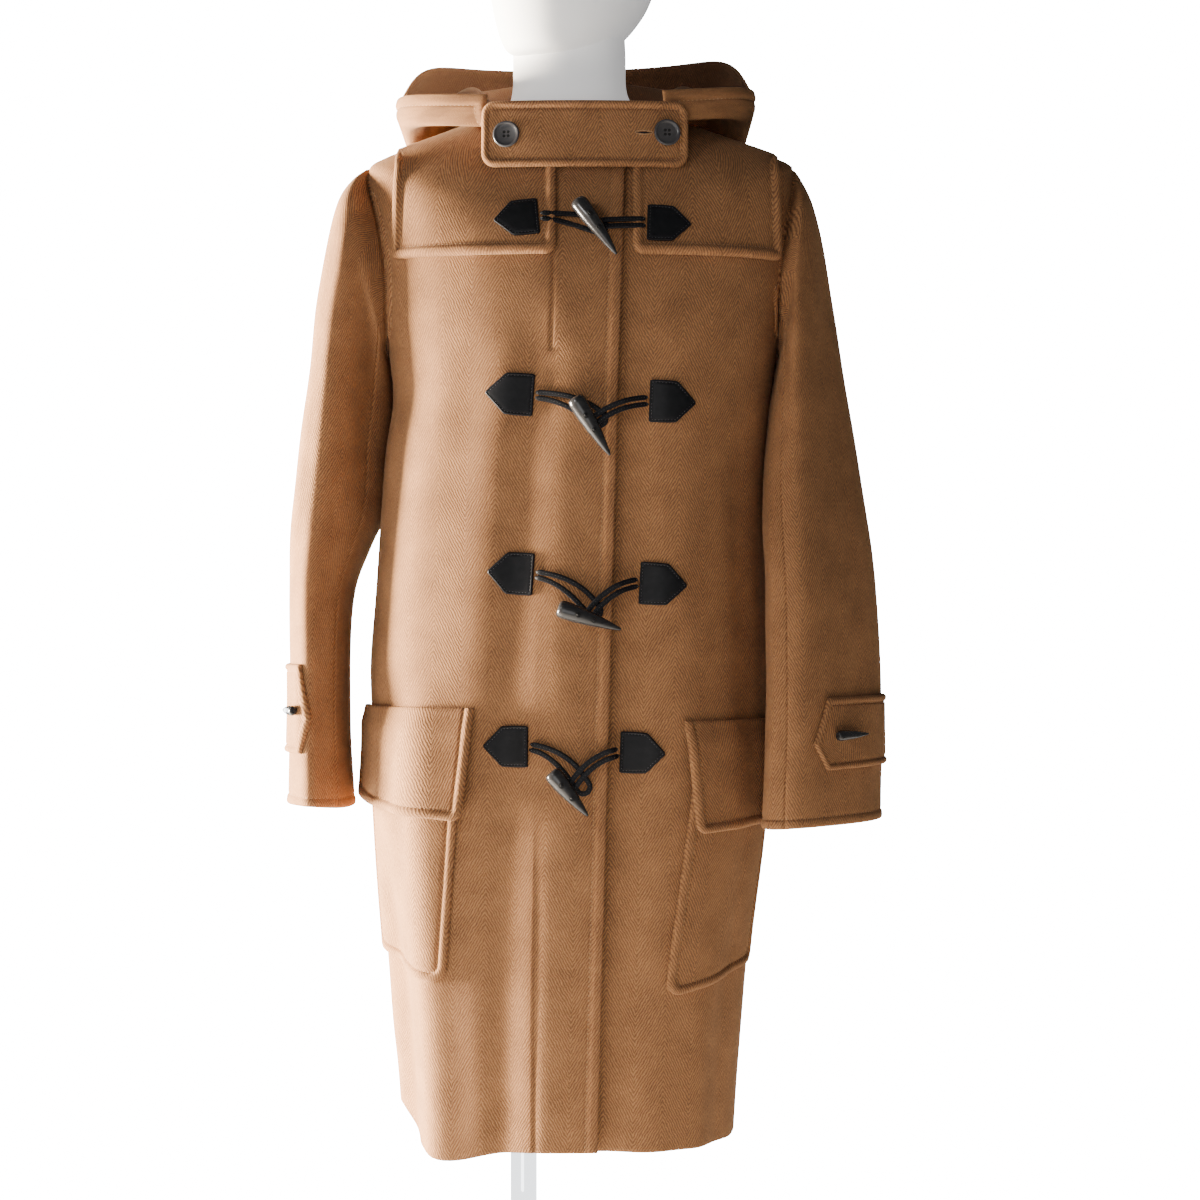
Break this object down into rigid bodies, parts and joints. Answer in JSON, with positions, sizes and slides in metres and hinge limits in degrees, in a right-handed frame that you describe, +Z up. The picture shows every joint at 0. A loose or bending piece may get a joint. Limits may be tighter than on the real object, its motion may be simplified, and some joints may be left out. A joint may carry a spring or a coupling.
{
  "type": "duffle coat on dress form",
  "caption": "Hooded wool duffle coat with horn toggles on leather loops, patch pockets and a throat tab, on a limbless dress form with pole and base.",
  "frame": {"origin": "centre of the base plate's underside, on the floor", "axes": "+Z up, -Y out of the coat's front, +X to the viewer's right, the wearer's left"},
  "size_m": [0.5656, 0.3431, 1.762],
  "materials": {
    "wool": "napped herringbone wool",
    "leather": "smooth black",
    "horn": "polished horn",
    "button": "semi gloss",
    "form": "off-white cover",
    "steel": "polished"
  },
  "bodies": {
    "root": {"front_right": "wool", "front_left": "wool", "back": "wool", "yoke_right": "wool", "yoke_left": "wool", "yoke_back": "wool", "pocket_right": "wool", "pocket_left": "wool", "flap_right": "wool", "flap_left": "wool", "sleeve_right": "wool", "sleeve_left": "wool", "cuff_tab_right": "wool", "cuff_tab_left": "wool", "hood_right": "wool", "hood_left": "wool", "throat_tab": "wool", "patch_right_1": "leather", "patch_left_1": "leather", "loop_1": "leather", "thong_1": "leather", "patch_right_2": "leather", "patch_left_2": "leather", "loop_2": "leather", "thong_2": "leather", "patch_right_3": "leather", "patch_left_3": "leather", "loop_3": "leather", "thong_3": "leather", "patch_right_4": "leather", "patch_left_4": "leather", "loop_4": "leather", "thong_4": "leather", "toggle_1": "horn", "toggle_2": "horn", "toggle_3": "horn", "toggle_4": "horn", "cuff_toggle_right": "horn", "cuff_toggle_left": "horn", "button_right": "button", "button_left": "button", "dress_form": "form", "base": "steel", "pole": "steel"}
  },
  "joints": []
}
